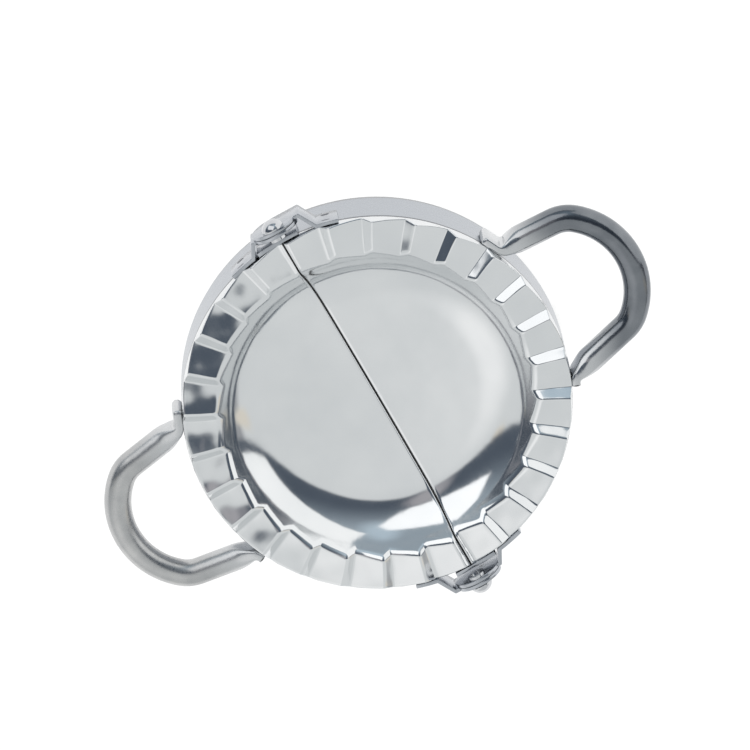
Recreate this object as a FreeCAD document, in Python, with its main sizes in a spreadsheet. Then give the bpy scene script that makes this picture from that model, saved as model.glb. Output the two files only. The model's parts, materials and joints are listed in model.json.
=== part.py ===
import FreeCAD, Part
import Sketcher
import math
import os
import re

# Hinged dough press lying open on its cutting edges, cavities up.
# The two halves are the same piece turned half a turn about the upright axis.
# X runs through both handles, Y along the hinge line, Z up.

SIZES = [
    ("rim_radius", 50.0, "outside of the rim and of the cutter band"),
    ("rim_height", 22.2, "tips of the teeth at the rim above the cutting edge"),
    ("sheet", 0.6, "thickness of the mould sheet"),
    ("split_half", 0.35, "half the slot between the two halves"),
    ("flange_drop", 1.05, "middle of the toothed flange below the tips"),
    ("tooth_count", 28, "teeth round the whole flange"),
    ("riser_angle", 2.9, "angle taken by one steep riser"),
    ("tooth_rise", 0.95, "half the height of a tooth at the tooth radius"),
    ("tooth_inset", 5.0, "tooth radius inward from the rim"),
    ("groove_inset", 16.0, "start of the tooth grooves inward from the rim"),
    ("groove_spare", 2.0, "how far the grooves run past the rim"),
    ("groove_arm", 14.0, "sideways reach of a groove arm"),
    ("block_foot", 4.0, "lower face of the block the sheet is taken from"),
    ("block_spare", 0.4, "top of that block above the tips before the grooves"),
    ("flange_width", 9.25, "bowl edge inward from the rim at the middle flange level"),
    ("wall_angle", 53.0, "steepness of the bowl wall"),
    ("corner_radius", 17.0, "curve between bowl wall and floor"),
    ("floor_radius", 380.0, "large radius of the slightly dished floor"),
    ("bowl_depth", 11.6, "bowl floor below the tips"),
    ("bowl_spare", 7.8, "how far the bowl space is carried above the tips"),
    ("skirt_angle", 76.0, "steepness of the rolled shoulder between pads and lip"),
    ("skirt_depth", 2.0, "start of the straight lip below the tips"),
    ("lip_depth", 3.2, "lower edge of the lip below the tips"),
    ("band_sheet", 0.6, "thickness of the cutter band"),
    ("bevel_height", 2.6, "height of the ground cutting bevel"),
    ("edge_land", 0.15, "width of the cutting edge"),
    ("axis_rise", 0.25, "hinge axis above the tips"),
    ("strap_sheet", 1.0, "thickness of the hinge straps and lap plates"),
    ("strap_drop", 1.3, "upper edge of straps and lap plates below the tips"),
    ("strap_width", 8.2, "height of straps and lap plates on the band"),
    ("ear_cover", 2.65, "top of an ear above the hinge axis"),
    ("ear_standoff", 2.8, "inner face of the inner ear from the band"),
    ("ear_play", 0.1, "play between the two ears"),
    ("inner_bend", 6.6, "where the inner ear starts to bend back"),
    ("outer_bend", 7.0, "where the outer ear starts to bend back"),
    ("inner_land", 9.6, "angle where the inner strap meets the band"),
    ("outer_land", 11.0, "angle where the outer strap meets the band"),
    ("strap_end", 17.6, "angle of the free end of a strap"),
    ("rivet_radius", 1.5, "rivet shank radius"),
    ("rivet_play", 0.05, "play between shank and hole"),
    ("head_flare", 1.45, "domed rivet head beyond the shank"),
    ("head_height", 2.5, "height of the domed head"),
    ("head_skirt", 0.35, "straight skirt under the dome"),
    ("head_play", 0.04, "play beside the ears along the rivet"),
    ("tail_flare", 0.85, "peened inner end beyond the shank"),
    ("tail_height", 0.8, "peened inner end height"),
    ("tail_dish", 1.3, "radius of the hollow in the peened end"),
    ("tail_depth", 0.45, "depth of that hollow"),
    ("lap_reach", 4.7, "reach of the lap plate across the slot"),
    ("lap_play", 0.05, "play between lap plate and the other band"),
    ("lap_angle", 7.8, "angle of the lap plate along its own band"),
    ("loop_standoff", 6.0, "centre of the handle loop from the band"),
    ("loop_radius", 18.3, "centre line radius of the handle loop"),
    ("loop_half_angle", 84.0, "half the angle of the handle loop"),
    ("tube_radius", 3.5, "handle tube radius"),
    ("handle_drop", 6.7, "handle centre below the tips"),
    ("leg_length", 3.6, "round part of a handle leg"),
    ("leg_hold", 0.5, "how far the flattened part stays round"),
    ("leg_first", 2.6, "first flattening step along the leg"),
    ("leg_second", 4.4, "second flattening step along the leg"),
    ("first_rise", 3.85, "half the height at the first step"),
    ("first_half", 2.75, "half the thickness at the first step"),
    ("second_rise", 4.45, "half the height at the second step"),
    ("second_half", 1.75, "half the thickness at the second step"),
    ("foot_bend", 3.0, "centre line bend radius between leg and foot"),
    ("foot_turn", 60.5, "angle the foot is bent away from the leg"),
    ("foot_length", 2.2, "straight foot beyond the bend"),
    ("foot_half", 1.25, "half the thickness of the flattened foot"),
    ("foot_sink", 0.2, "how far the foot is ground hollow to sit on the band"),
    ("foot_rise", 4.75, "half the height of the flattened foot"),
    ("reach", 70.0, "half width of the cutting blocks"),
]

# Places that follow from the rim and its height, so that one size moves all that sits on it.
PLACES = {
    "flange_height": "rim_height - flange_drop",
    "tooth_radius": "rim_radius - tooth_inset",
    "groove_start": "rim_radius - groove_inset",
    "groove_sweep": "groove_inset + groove_spare",
    "block_top": "rim_height + block_spare",
    "mouth_radius": "rim_radius - flange_width",
    "floor_height": "rim_height - bowl_depth",
    "bowl_top": "rim_height + bowl_spare",
    "skirt_foot": "rim_height - skirt_depth",
    "lip_foot": "rim_height - lip_depth",
    "axis_height": "rim_height + axis_rise",
    "strap_top": "rim_height - strap_drop",
    "strap_foot": "strap_top - strap_width",
    "ear_radius": "(axis_height + ear_cover - strap_foot) / 2",
    "inner_ear": "rim_radius + ear_standoff",
    "outer_ear": "inner_ear + strap_sheet + ear_play",
    "head_radius": "rivet_radius + head_flare",
    "tail_radius": "rivet_radius + tail_flare",
    "lap_seat": "rim_radius + lap_play",
    "loop_centre": "rim_radius + loop_standoff",
    "foot_centre": "rim_radius + foot_half - foot_sink",
    "handle_height": "rim_height - handle_drop",
}
NAMES = {row[0] for row in SIZES}

doc = FreeCAD.newDocument("dough_press")
sheet = doc.addObject("Spreadsheet::Sheet", "sizes")
for line, (alias, number, note) in enumerate(SIZES, start=1):
    sheet.set("A%d" % line, note)
    sheet.set("B%d" % line, str(number))
    sheet.setAlias("B%d" % line, alias)
doc.recompute()
probe = doc.addObject("Spreadsheet::Sheet", "probe")

X_AXIS = FreeCAD.Vector(1, 0, 0)
Y_AXIS = FreeCAD.Vector(0, 1, 0)
Z_AXIS = FreeCAD.Vector(0, 0, 1)
ORIGIN = FreeCAD.Vector(0, 0, 0)
QUARTER = 90.0
HALF_TURN = 180.0
FULL_TURN = 360.0
BEND_STEPS = 4
FOOT_STEPS = 3


def bound(text):
    """Words of the size table are pointed at the sheet; words for places are written out first."""
    def swap(found):
        word = found.group(0)
        if word in PLACES:
            return "(" + bound(PLACES[word]) + ")"
        return "sizes." + word if word in NAMES else word
    return re.sub(r"[a-z_]+", swap, text)


def tie(item, rules):
    for prop, text in rules.items():
        item.setExpression(prop, bound(text))
    return item


def make(kind, name, rules=None, **plain):
    item = doc.addObject(kind, name)
    for prop, val in plain.items():
        setattr(item, prop, val)
    return tie(item, rules or {})


def place(item, x="0", y="0", z="0", yaw="0", pitch="0", roll="0"):
    text = "placement(vector(%s; %s; %s); rotation(%s; %s; %s))" % (x, y, z, yaw, pitch, roll)
    item.setExpression("Placement", bound(text))
    return item


def fuse(name, parts):
    return make("Part::MultiFuse", name, Shapes=parts)


def cut(name, base, tool):
    return make("Part::Cut", name, Base=base, Tool=tool)


def common(name, base, tool):
    return make("Part::Common", name, Base=base, Tool=tool)


def tan(angle):
    return math.tan(math.radians(angle))


def upright_sketch(name):
    """A sketch whose x is the radius and whose y is the height."""
    drawing = doc.addObject("Sketcher::SketchObject", name)
    drawing.Placement = FreeCAD.Placement(ORIGIN, FreeCAD.Rotation(X_AXIS, QUARTER))
    return drawing


def point(x, y):
    return FreeCAD.Vector(x, y, 0)


def pin(drawing, geo, end, x_text, y_text, x_now, y_now):
    """Ties one sketch point to the size table."""
    if x_text == "0":
        drawing.addConstraint(Sketcher.Constraint("PointOnObject", geo, end, -2))
    else:
        spot = drawing.addConstraint(Sketcher.Constraint("DistanceX", -1, 1, geo, end, x_now))
        drawing.setExpression("Constraints[%d]" % spot, bound(x_text))
    spot = drawing.addConstraint(Sketcher.Constraint("DistanceY", -1, 1, geo, end, y_now))
    drawing.setExpression("Constraints[%d]" % spot, bound(y_text))


def number(text):
    """Present value of a small formula of the size table, read through the probe sheet."""
    probe.set("A1", "=" + bound(text))
    probe.recompute()
    return float(probe.get("A1"))


def polygon(name, corners):
    """Closed outline of formula pairs for radius and height."""
    drawing = upright_sketch(name)
    spots = [(number(x), number(y)) for x, y in corners]
    count = len(spots)
    for i in range(count):
        line = Part.LineSegment(point(*spots[i]), point(*spots[(i + 1) % count]))
        drawing.addGeometry(line, False)
    for i in range(count):
        drawing.addConstraint(Sketcher.Constraint("Coincident", i, 2, (i + 1) % count, 1))
    for i, (x_text, y_text) in enumerate(corners):
        pin(drawing, i, 1, x_text, y_text, spots[i][0], spots[i][1])
    return drawing


def turned(name, drawing):
    return make("Part::Revolution", name, Source=drawing, Axis=Z_AXIS, Base=ORIGIN,
                Angle=FULL_TURN, Solid=True)


def bowl_space(name, offset):
    """Space over the bowl surface, moved outward by the offset formula."""
    drawing = upright_sketch(name + "_outline")
    shift = number(offset)
    angle = number("wall_angle")
    floor_r = number("floor_radius") + shift
    corner_r = number("corner_radius") + shift
    floor_z = number("floor_height") - shift
    top_z = number("bowl_top")
    rise = top_z - number("flange_height")
    top_x = number("mouth_radius") + rise / tan(angle) + shift / math.sin(math.radians(angle))
    along = FreeCAD.Vector(math.cos(math.radians(angle)), math.sin(math.radians(angle)), 0)
    inward = FreeCAD.Vector(-along.y, along.x, 0)
    ball = point(0, floor_z + floor_r)
    start = point(top_x, top_z) + inward * corner_r - ball
    # centre of the corner: start - s * along, at the distance floor radius minus corner radius
    half_b = start.dot(along)
    rest = start.dot(start) - (floor_r - corner_r) ** 2
    root = half_b + math.sqrt(half_b * half_b - rest)
    centre = ball + start - along * root
    down = (centre - ball).normalize()
    first = ball + down * floor_r
    second = centre - inward * corner_r
    low = point(0, floor_z)
    top = point(top_x, top_z)
    lid = point(0, top_z)
    face = FreeCAD.Vector(0, 0, 1)
    lowest = -math.pi / 2
    meet = math.atan2(down.y, down.x)
    climb = math.atan2(second.y - centre.y, second.x - centre.x)
    floor = Part.ArcOfCircle(Part.Circle(ball, face, floor_r), lowest, meet)
    corner = Part.ArcOfCircle(Part.Circle(centre, face, corner_r), meet, climb)
    drawing.addGeometry(floor, False)
    drawing.addGeometry(corner, False)
    drawing.addGeometry(Part.LineSegment(second, top), False)
    drawing.addGeometry(Part.LineSegment(top, lid), False)
    drawing.addGeometry(Part.LineSegment(lid, low), False)
    rule = Sketcher.Constraint
    drawing.addConstraint(rule("Tangent", 0, 2, 1, 1))
    drawing.addConstraint(rule("Tangent", 1, 2, 2, 1))
    drawing.addConstraint(rule("Coincident", 2, 2, 3, 1))
    drawing.addConstraint(rule("Coincident", 3, 2, 4, 1))
    drawing.addConstraint(rule("Coincident", 4, 2, 0, 1))
    drawing.addConstraint(rule("PointOnObject", 0, 3, -2))
    drawing.addConstraint(rule("PointOnObject", 4, 2, -2))
    drawing.addConstraint(rule("Vertical", 4))
    drawing.addConstraint(rule("Horizontal", 3))
    spot = drawing.addConstraint(rule("Radius", 0, floor_r))
    drawing.setExpression("Constraints[%d]" % spot, bound("floor_radius + %s" % offset))
    spot = drawing.addConstraint(rule("Radius", 1, corner_r))
    drawing.setExpression("Constraints[%d]" % spot, bound("corner_radius + %s" % offset))
    spot = drawing.addConstraint(rule("DistanceY", -1, 1, 4, 2, floor_z))
    drawing.setExpression("Constraints[%d]" % spot, bound("floor_height - %s" % offset))
    spot = drawing.addConstraint(rule("DistanceY", -1, 1, 2, 2, top_z))
    drawing.setExpression("Constraints[%d]" % spot, bound("bowl_top"))
    spot = drawing.addConstraint(rule("DistanceX", -1, 1, 2, 2, top_x))
    reach = "mouth_radius + (bowl_top - flange_height) / tan(wall_angle) + (%s) / sin(wall_angle)"
    drawing.setExpression("Constraints[%d]" % spot, bound(reach % offset))
    spot = drawing.addConstraint(rule("Angle", 2, math.radians(angle)))
    drawing.setExpression("Constraints[%d]" % spot, bound("wall_angle * 1 deg"))
    return turned(name, drawing)


def toothed_block(name):
    """Round block whose top is a fan of planes through the centre: pads and steep risers."""
    body = doc.addObject("PartDesign::Body", name)
    block = body.newObject("PartDesign::AdditiveCylinder", name + "_round")
    tie(block, {"Radius": "rim_radius", "Height": "block_top - block_foot"})
    block.setExpression("Placement.Base.z", bound("block_foot"))
    pitch = "(360 / tooth_count)"
    pad = "(%s - riser_angle)" % pitch
    drop = "(tooth_rise / tooth_radius)"
    pad_slope = "(%s * (1 / cos(%s) + 1) / tan(%s))" % (drop, pad, pad)
    riser_slope = "(%s * (1 / cos(riser_angle) + 1) / tan(riser_angle))" % drop
    low_x = "0"
    low_z = "flange_height - groove_start * %s" % drop
    arm = "groove_arm"
    drawing = body.newObject("Sketcher::SketchObject", name + "_groove")
    face = [f for f in body.Origin.OriginFeatures if f.Role == "YZ_Plane"][0]
    drawing.AttachmentSupport = [(face, "")]
    drawing.MapMode = "FlatFace"
    drawing.setExpression("AttachmentOffset.Base.z", bound("groove_start"))
    corners = [(low_x, low_z),
               (arm, "%s + %s * %s" % (low_z, arm, pad_slope)),
               (arm, "%s + %s * %s" % (low_z, arm, riser_slope)),
               ("-" + arm, "%s + %s * %s" % (low_z, arm, riser_slope))]
    spots = [(number(x), number(y)) for x, y in corners]
    count = len(spots)
    for i in range(count):
        line = Part.LineSegment(point(*spots[i]), point(*spots[(i + 1) % count]))
        drawing.addGeometry(line, False)
    for i in range(count):
        drawing.addConstraint(Sketcher.Constraint("Coincident", i, 2, (i + 1) % count, 1))
    for i, (x_text, y_text) in enumerate(corners):
        pin(drawing, i, 1, x_text, y_text, spots[i][0], spots[i][1])
    doc.recompute()
    groove = body.newObject("PartDesign::Pocket", name + "_cut")
    groove.Profile = drawing
    groove.UseCustomVector = True
    groove.AlongSketchNormal = False
    groove.Reversed = False
    groove.Direction = FreeCAD.Vector(1, 0, -number(drop))
    groove.setExpression("Direction.z", bound("-" + drop))
    groove.setExpression("Length", bound("groove_sweep"))
    doc.recompute()
    ring = body.newObject("PartDesign::PolarPattern", name + "_ring")
    ring.Originals = [groove]
    ring.Axis = ([f for f in body.Origin.OriginFeatures if f.Role == "Z_Axis"][0], [""])
    ring.Angle = FULL_TURN
    ring.setExpression("Occurrences", bound("tooth_count"))
    body.Tip = ring
    doc.recompute()
    return body


def straight_ring(name, inner, outer, low, high):
    """Plain ring between two radii and two heights."""
    hole = make("Part::Cylinder", name + "_hole", {"Radius": inner, "Height": "%s - (%s)" % (high, low)})
    place(hole, z=low)
    round_bar = make("Part::Cylinder", name + "_round", {"Radius": outer, "Height": "%s - (%s)" % (high, low)})
    place(round_bar, z=low)
    return cut(name, round_bar, hole)


def side_block(name, sign):
    """Block over one half of the press, kept clear of the slot."""
    block = make("Part::Box", name, {"Length": "reach", "Width": "2 * reach", "Height": "2 * reach"})
    start = "split_half" if sign > 0 else "-split_half - reach"
    return place(block, x=start, y="-reach", z="-reach")


def along_y(name, radius, length, start):
    """Cylinder along the hinge line, centred on the hinge axis."""
    bar = make("Part::Cylinder", name, {"Radius": radius, "Height": length})
    return place(bar, y=start, z="axis_height", roll="-90")


def finish(item, label):
    item.Label = label
    NODES.append(item)
    return item


NODES = []

# Mould sheet: a toothed block with a rolled shoulder, less the bowl, less the same one sheet lower.
upper = place(toothed_block("tooth_block"), yaw="riser_angle / 2")
lower = place(toothed_block("tooth_block_under"), z="-sheet", yaw="riser_angle / 2")

shoulder_run = "(block_top - skirt_foot) / tan(skirt_angle)"
shoulder = polygon("shoulder_outline", [
    ("0", "block_foot"),
    ("rim_radius", "block_foot"),
    ("rim_radius", "skirt_foot"),
    ("rim_radius - %s" % shoulder_run, "block_top"),
    ("0", "block_top")])
shoulder_under = polygon("shoulder_outline_under", [
    ("0", "block_foot - sheet"),
    ("rim_radius - sheet", "block_foot - sheet"),
    ("rim_radius - sheet", "skirt_foot - sheet * tan((90 - skirt_angle) / 2)"),
    ("rim_radius - sheet / sin(skirt_angle) - %s" % shoulder_run, "block_top"),
    ("0", "block_top")])
outside = common("mould_outside", upper, turned("shoulder", shoulder))
inside = common("mould_inside", lower, turned("shoulder_under", shoulder_under))
hollow = cut("mould_hollow", outside, bowl_space("bowl", "0"))
backing = cut("mould_backing", inside, bowl_space("bowl_under", "sheet"))
pressed = cut("mould_pressed", hollow, backing)
trim = straight_ring("lip_trim", "rim_radius - 2 * sheet", "reach", "0", "lip_foot")
mould = cut("mould_sheet", pressed, trim)
right_side = side_block("right_side", 1)
left_side = side_block("left_side", -1)
finish(common("right_mold_body", mould, right_side), "right_mold")
finish(common("left_mold_body", mould, left_side), "left_mold")

# Cutter band: tall ring under the lip and flush with it, ground to an edge on its outside.
band_face = polygon("band_face", [
    ("rim_radius - band_sheet", "0"),
    ("rim_radius - band_sheet + edge_land", "0"),
    ("rim_radius", "bevel_height"),
    ("rim_radius", "lip_foot"),
    ("rim_radius - band_sheet", "lip_foot")])
band = turned("cutter_band", band_face)
finish(common("right_band_body", band, right_side), "right_cutter_band")
finish(common("left_band_body", band, left_side), "left_cutter_band")

# Hinge straps: a straight ear, a bend back to the band and a land lying on the band.
band_core = place(make("Part::Cylinder", "band_core", {"Radius": "rim_radius", "Height": "reach"}))
strap_hole = along_y("strap_hole", "rivet_radius + rivet_play", "reach", "0")


def strap(name, ear, bend, land, turn, label):
    half = "strap_sheet / 2"
    mid = "(%s + %s)" % (ear, half)
    ring = "(rim_radius + %s)" % half
    land_x = "(%s * sin(%s))" % (ring, land)
    land_y = "(%s * cos(%s))" % (ring, land)
    run = "(%s - %s)" % (land_x, bend)
    fall = "(%s - %s)" % (land_y, mid)
    angle = "atan2(%s; %s)" % (fall, run)
    length = "sqrt(%s * %s + %s * %s)" % (run, run, fall, fall)
    flat = make("Part::Box", name + "_ear", {"Length": "%s + ear_radius" % bend,
                                            "Width": "strap_sheet", "Height": "reach"})
    place(flat, x="-ear_radius", y=ear)
    slant = make("Part::Box", name + "_slant", {"Length": length, "Width": "strap_sheet", "Height": "reach"})
    place(slant, x="%s + %s * sin(%s)" % (bend, half, angle), y="%s - %s * cos(%s)" % (mid, half, angle), yaw=angle)
    knee = place(make("Part::Cylinder", name + "_knee", {"Radius": half, "Height": "reach"}), x=bend, y=mid)
    heel = place(make("Part::Cylinder", name + "_heel", {"Radius": half, "Height": "reach"}), x=land_x, y=land_y)
    lying = make("Part::Cylinder", name + "_land", {"Radius": "rim_radius + strap_sheet", "Height": "reach",
                                                    "Angle": "strap_end - %s" % land})
    place(lying, yaw="90 - strap_end")
    plan = cut(name + "_plan", fuse(name + "_strip", [flat, slant, knee, heel, lying]), band_core)
    end = make("Part::Cylinder", name + "_end", {"Radius": "ear_radius", "Height": "reach"})
    place(end, z="strap_foot + ear_radius", roll="-90")
    body = make("Part::Box", name + "_body", {"Length": "reach", "Width": "reach", "Height": "strap_top - strap_foot"})
    place(body, z="strap_foot")
    side = fuse(name + "_side", [end, body])
    whole = cut(name + "_whole", common(name + "_blank", plan, side), strap_hole)
    return finish(place(whole, yaw=turn), label)


strap("rear_outer", "outer_ear", "outer_bend", "outer_land", "0", "right_outer_strap")
strap("front_outer", "outer_ear", "outer_bend", "outer_land", "180", "left_outer_strap")


def mirrored(name, source):
    return make("Part::Mirroring", name, Source=source, Normal=Y_AXIS, Base=ORIGIN)


inner = strap("front_inner", "inner_ear", "inner_bend", "inner_land", "0", "right_inner_strap")
NODES.remove(inner)
finish(mirrored("front_inner_strap", inner), "right_inner_strap")
inner.Label = "front_inner_source"
NODES[-1].Label = "right_inner_strap"
other = strap("rear_inner", "inner_ear", "inner_bend", "inner_land", "180", "left_inner_strap")
NODES.remove(other)
finish(mirrored("rear_inner_strap", other), "left_inner_strap")
other.Label = "rear_inner_source"
NODES[-1].Label = "left_inner_strap"


# Lap plates: each half carries one over the slot beside the hinge.
def lap(name, turn, label):
    tongue = make("Part::Box", name + "_tongue", {"Length": "lap_reach", "Width": "strap_sheet",
                                                  "Height": "strap_width"})
    place(tongue, y="lap_seat", z="strap_foot")
    seat = make("Part::Cylinder", name + "_seat", {"Radius": "lap_seat + strap_sheet",
                                                  "Height": "strap_width", "Angle": "lap_angle"})
    place(seat, z="strap_foot", yaw="90")
    whole = fuse(name + "_whole", [tongue, cut(name + "_shell", seat, band_core)])
    return finish(place(whole, yaw=turn), label)


lap("rear_lap", "0", "left_lap_plate")
lap("front_lap", "180", "right_lap_plate")


# Rivets: domed head outside, peened and dished end inside.
def rivet(name, turn, label):
    outside_face = "(outer_ear + strap_sheet + head_play)"
    inside_face = "(inner_ear - head_play)"
    rise = "(head_height - head_skirt)"
    ball_radius = "((head_radius * head_radius + %s * %s) / (2 * %s))" % (rise, rise, rise)
    shank = along_y(name + "_shank", "rivet_radius", "%s - %s" % (outside_face, inside_face), inside_face)
    tail = along_y(name + "_tail", "tail_radius", "tail_height", "%s - tail_height" % inside_face)
    dish = along_y(name + "_dish", "tail_dish", "tail_depth", "%s - tail_height" % inside_face)
    drum = along_y(name + "_drum", "head_radius", "head_height", outside_face)
    ball = make("Part::Sphere", name + "_ball", {"Radius": ball_radius})
    place(ball, y="%s + head_height - %s" % (outside_face, ball_radius), z="axis_height")
    head = common(name + "_head", drum, ball)
    whole = fuse(name + "_whole", [shank, cut(name + "_end", tail, dish), head])
    return finish(place(whole, yaw=turn), label)


rivet("rear_pin", "0", "rear_rivet")
rivet("front_pin", "180", "front_rivet")


# Handles: round loop whose legs are flattened and bent out onto the band.
def station(name, x, y, yaw, rise, half):
    ring = make("Part::Ellipse", name, {"MajorRadius": rise, "MinorRadius": half})
    return place(ring, x=x, y=y, z="handle_height", yaw=yaw, pitch="-90")


def handle(name, turn, label):
    swing = "loop_half_angle"
    corner_x = "(loop_centre + loop_radius * cos(%s))" % swing
    corner_y = "(loop_radius * sin(%s))" % swing
    heading = "(90 + %s)" % swing
    toward = "(%s * cos(%s) + %s * sin(%s))" % (corner_x, heading, corner_y, heading)
    size = "(%s * %s + %s * %s)" % (corner_x, corner_x, corner_y, corner_y)
    full = "(-%s - sqrt(%s * %s - %s + foot_centre * foot_centre))" % (toward, toward, toward, size)

    def leg_x(step):
        return "%s + (%s) * cos(%s)" % (corner_x, step, heading)

    def leg_y(step):
        return "%s + (%s) * sin(%s)" % (corner_y, step, heading)

    last_step = "(%s - foot_bend * tan(foot_turn / 2))" % full
    pivot_x = "(%s + foot_bend * sin(%s))" % (leg_x(last_step), heading)
    pivot_y = "(%s - foot_bend * cos(%s))" % (leg_y(last_step), heading)
    rings = []
    steps = [("leg_length", "tube_radius", "tube_radius"),
             ("leg_length + leg_hold", "tube_radius", "tube_radius"),
             ("leg_length + leg_first", "first_rise", "first_half"),
             ("leg_length + leg_second", "second_rise", "second_half"),
             (last_step, "foot_rise", "foot_half")]
    for count, (step, rise, half) in enumerate(steps):
        rings.append(station("%s_leg_%d" % (name, count), leg_x(step), leg_y(step), heading, rise, half))
    for count in range(1, BEND_STEPS + 1):
        now = "(%s - foot_turn * %d / %d)" % (heading, count, BEND_STEPS)
        rings.append(station("%s_bend_%d" % (name, count), "%s - foot_bend * sin(%s)" % (pivot_x, now),
                             "%s + foot_bend * cos(%s)" % (pivot_y, now), now, "foot_rise", "foot_half"))
    away = "(%s - foot_turn)" % heading
    for count in range(1, FOOT_STEPS + 1):
        run = "foot_length * %d / %d" % (count, FOOT_STEPS)
        rings.append(station("%s_tip_%d" % (name, count),
                             "%s - foot_bend * sin(%s) + %s * cos(%s)" % (pivot_x, away, run, away),
                             "%s + foot_bend * cos(%s) + %s * sin(%s)" % (pivot_y, away, run, away),
                             away, "foot_rise", "foot_half"))
    foot = make("Part::Loft", name + "_foot", Sections=rings, Solid=True, Ruled=False,
                MaxDegree=3)
    leg = make("Part::Cylinder", name + "_leg", {"Radius": "tube_radius", "Height": "leg_length"})
    place(leg, x=corner_x, y=corner_y, z="handle_height", yaw=heading, pitch="90")
    loop = make("Part::Torus", name + "_loop", {"Radius1": "loop_radius", "Radius2": "tube_radius",
                                               "Angle3": "2 * loop_half_angle"})
    place(loop, x="loop_centre", z="handle_height", yaw="-" + swing)
    side = fuse(name + "_side", [leg, foot])
    whole = cut(name + "_whole", fuse(name + "_bar", [loop, side, mirrored(name + "_twin", side)]), band_core)
    return finish(place(whole, yaw=turn), label)


handle("right_bow", "0", "right_handle")
handle("left_bow", "180", "left_handle")

doc.removeObject("probe")
doc.recompute()
faults = []
for item in doc.Objects:
    if any(word in item.State for word in ("Invalid", "Error")):
        faults.append("%s %s" % (item.Name, item.State))
for item in NODES:
    if item.Shape.isNull() or not item.Shape.isValid() or len(item.Shape.Solids) != 1:
        faults.append("%s shape" % item.Label)
if faults:
    raise SystemExit("part not built: " + "; ".join(faults))
os.makedirs("parts", exist_ok=True)
for item in NODES:
    item.Shape.exportStep("parts/%s.step" % item.Label)
    box = item.Shape.BoundBox
    print("%-20s %8.1f mm3  x %.2f %.2f  y %.2f %.2f  z %.2f %.2f" % (
        item.Label, item.Shape.Volume, box.XMin, box.XMax, box.YMin, box.YMax, box.ZMin, box.ZMax))
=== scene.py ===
import json
import math

import bmesh
import bpy
import numpy as np
from mathutils import Matrix, Vector


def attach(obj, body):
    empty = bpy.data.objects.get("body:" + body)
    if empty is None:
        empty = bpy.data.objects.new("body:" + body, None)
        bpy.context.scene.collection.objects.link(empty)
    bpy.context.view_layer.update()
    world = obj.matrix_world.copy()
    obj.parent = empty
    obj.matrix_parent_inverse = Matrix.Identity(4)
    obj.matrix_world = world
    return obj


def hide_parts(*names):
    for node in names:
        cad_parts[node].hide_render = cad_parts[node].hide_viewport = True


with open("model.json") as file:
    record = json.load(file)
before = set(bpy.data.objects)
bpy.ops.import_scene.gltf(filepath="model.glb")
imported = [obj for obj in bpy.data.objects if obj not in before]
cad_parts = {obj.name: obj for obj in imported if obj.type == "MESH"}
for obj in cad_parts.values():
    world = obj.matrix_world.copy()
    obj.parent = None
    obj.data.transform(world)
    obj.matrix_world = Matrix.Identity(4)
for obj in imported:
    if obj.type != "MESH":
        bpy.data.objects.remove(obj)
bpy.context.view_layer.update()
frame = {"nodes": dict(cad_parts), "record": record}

BODY_NODES = frame["record"]["behaviour"]["bodies"]
HALVES = {"right": 1.0, "left": -1.0}
MM = 0.001

# Sizes of the pressed half moulds, in millimetres and degrees: those of the solids, with a closer split.
RIM_RADIUS = 50.0
FLANGE_HEIGHT = 21.15
SHEET = 0.6
SPLIT_HALF = 0.2
TOOTH_COUNT = 28
RISER_ANGLE = 2.9
TOOTH_RISE = 0.95
TOOTH_RADIUS = 45.0
MOUTH_RADIUS = 40.75
WALL_ANGLE = 53.0
CORNER_RADIUS = 17.0
FLOOR_RADIUS = 380.0
FLOOR_HEIGHT = 10.6
SKIRT_ANGLE = 76.0
SKIRT_FOOT = 20.2
LIP_FOOT = 19.0

# Small press forms that the solids leave out, in millimetres.
CREST_ROUND = 0.50
FOOT_ROUND = 0.20
MOUTH_ROUND = 1.5
SHOULDER_ROUND = 0.32
INNER_SHOULDER_ROUND = 0.20
PAD_DISH_SHARE = 0.11
RADIAL_DISH = 0.10
PAD_HALF_LENGTH = 5.0
SPLIT_WIDTH = 0.8
SPLIT_DROP = 0.42
LIP_ROUND = 0.12
LEAST_SIDE = 0.02

# Teeth lean a little more or less by this share; the step in radians spreads that along the rim.
TILT_SHARE = 0.10
TILT_STEP = 20.0

# Waves left by pressing: height, length and direction in degrees; the two halves have their own phase.
PRESS_WAVES = [(0.034, 9.5, 20.0), (0.028, 7.3, 75.0), (0.020, 5.6, 130.0), (0.013, 4.4, 165.0)]
PHASES = {"right": 0.0, "left": 2.1}

# Mesh rings of a mould: first radius, last radius and count of each band, out to the middle of the pads.
PLAIN_REACH = 46.0
RING_BANDS = [(SPLIT_HALF, 1.1, 6), (1.1, 4.0, 4), (4.0, 24.0, 12), (24.0, 37.5, 22), (37.5, 39.4, 6),
              (39.4, 43.0, 26), (43.0, PLAIN_REACH, 6)]
PAD_RINGS = 8
SHOULDER_TURNS = (15.0, 90.0, 6)

# Mesh columns of one tooth, in degrees from its crest, from the middle of its riser and from its foot.
CREST_COLUMNS = (-0.75, -0.5, -0.36, -0.24, -0.12, 0.0, 0.12, 0.24, 0.36, 0.5)
RISER_COLUMNS = (-0.5, 0.0, 0.5)
FOOT_COLUMNS = (-0.25, -0.12, -0.05, 0.05, 0.12, 0.25)
PAD_COLUMNS = 8
PAD_START = 0.7
PAD_SPARE = 1.6

# Mesh beside the split: columns in the rounded strip, the radius over which the strip comes in, and where the
# other columns start to close up toward it, in degrees and as a share of the way.
STRIP_COLUMNS = 7
STRIP_GROWTH = 1.5
PACK_START = 80.0
PACK_SHARE = 0.8

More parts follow.
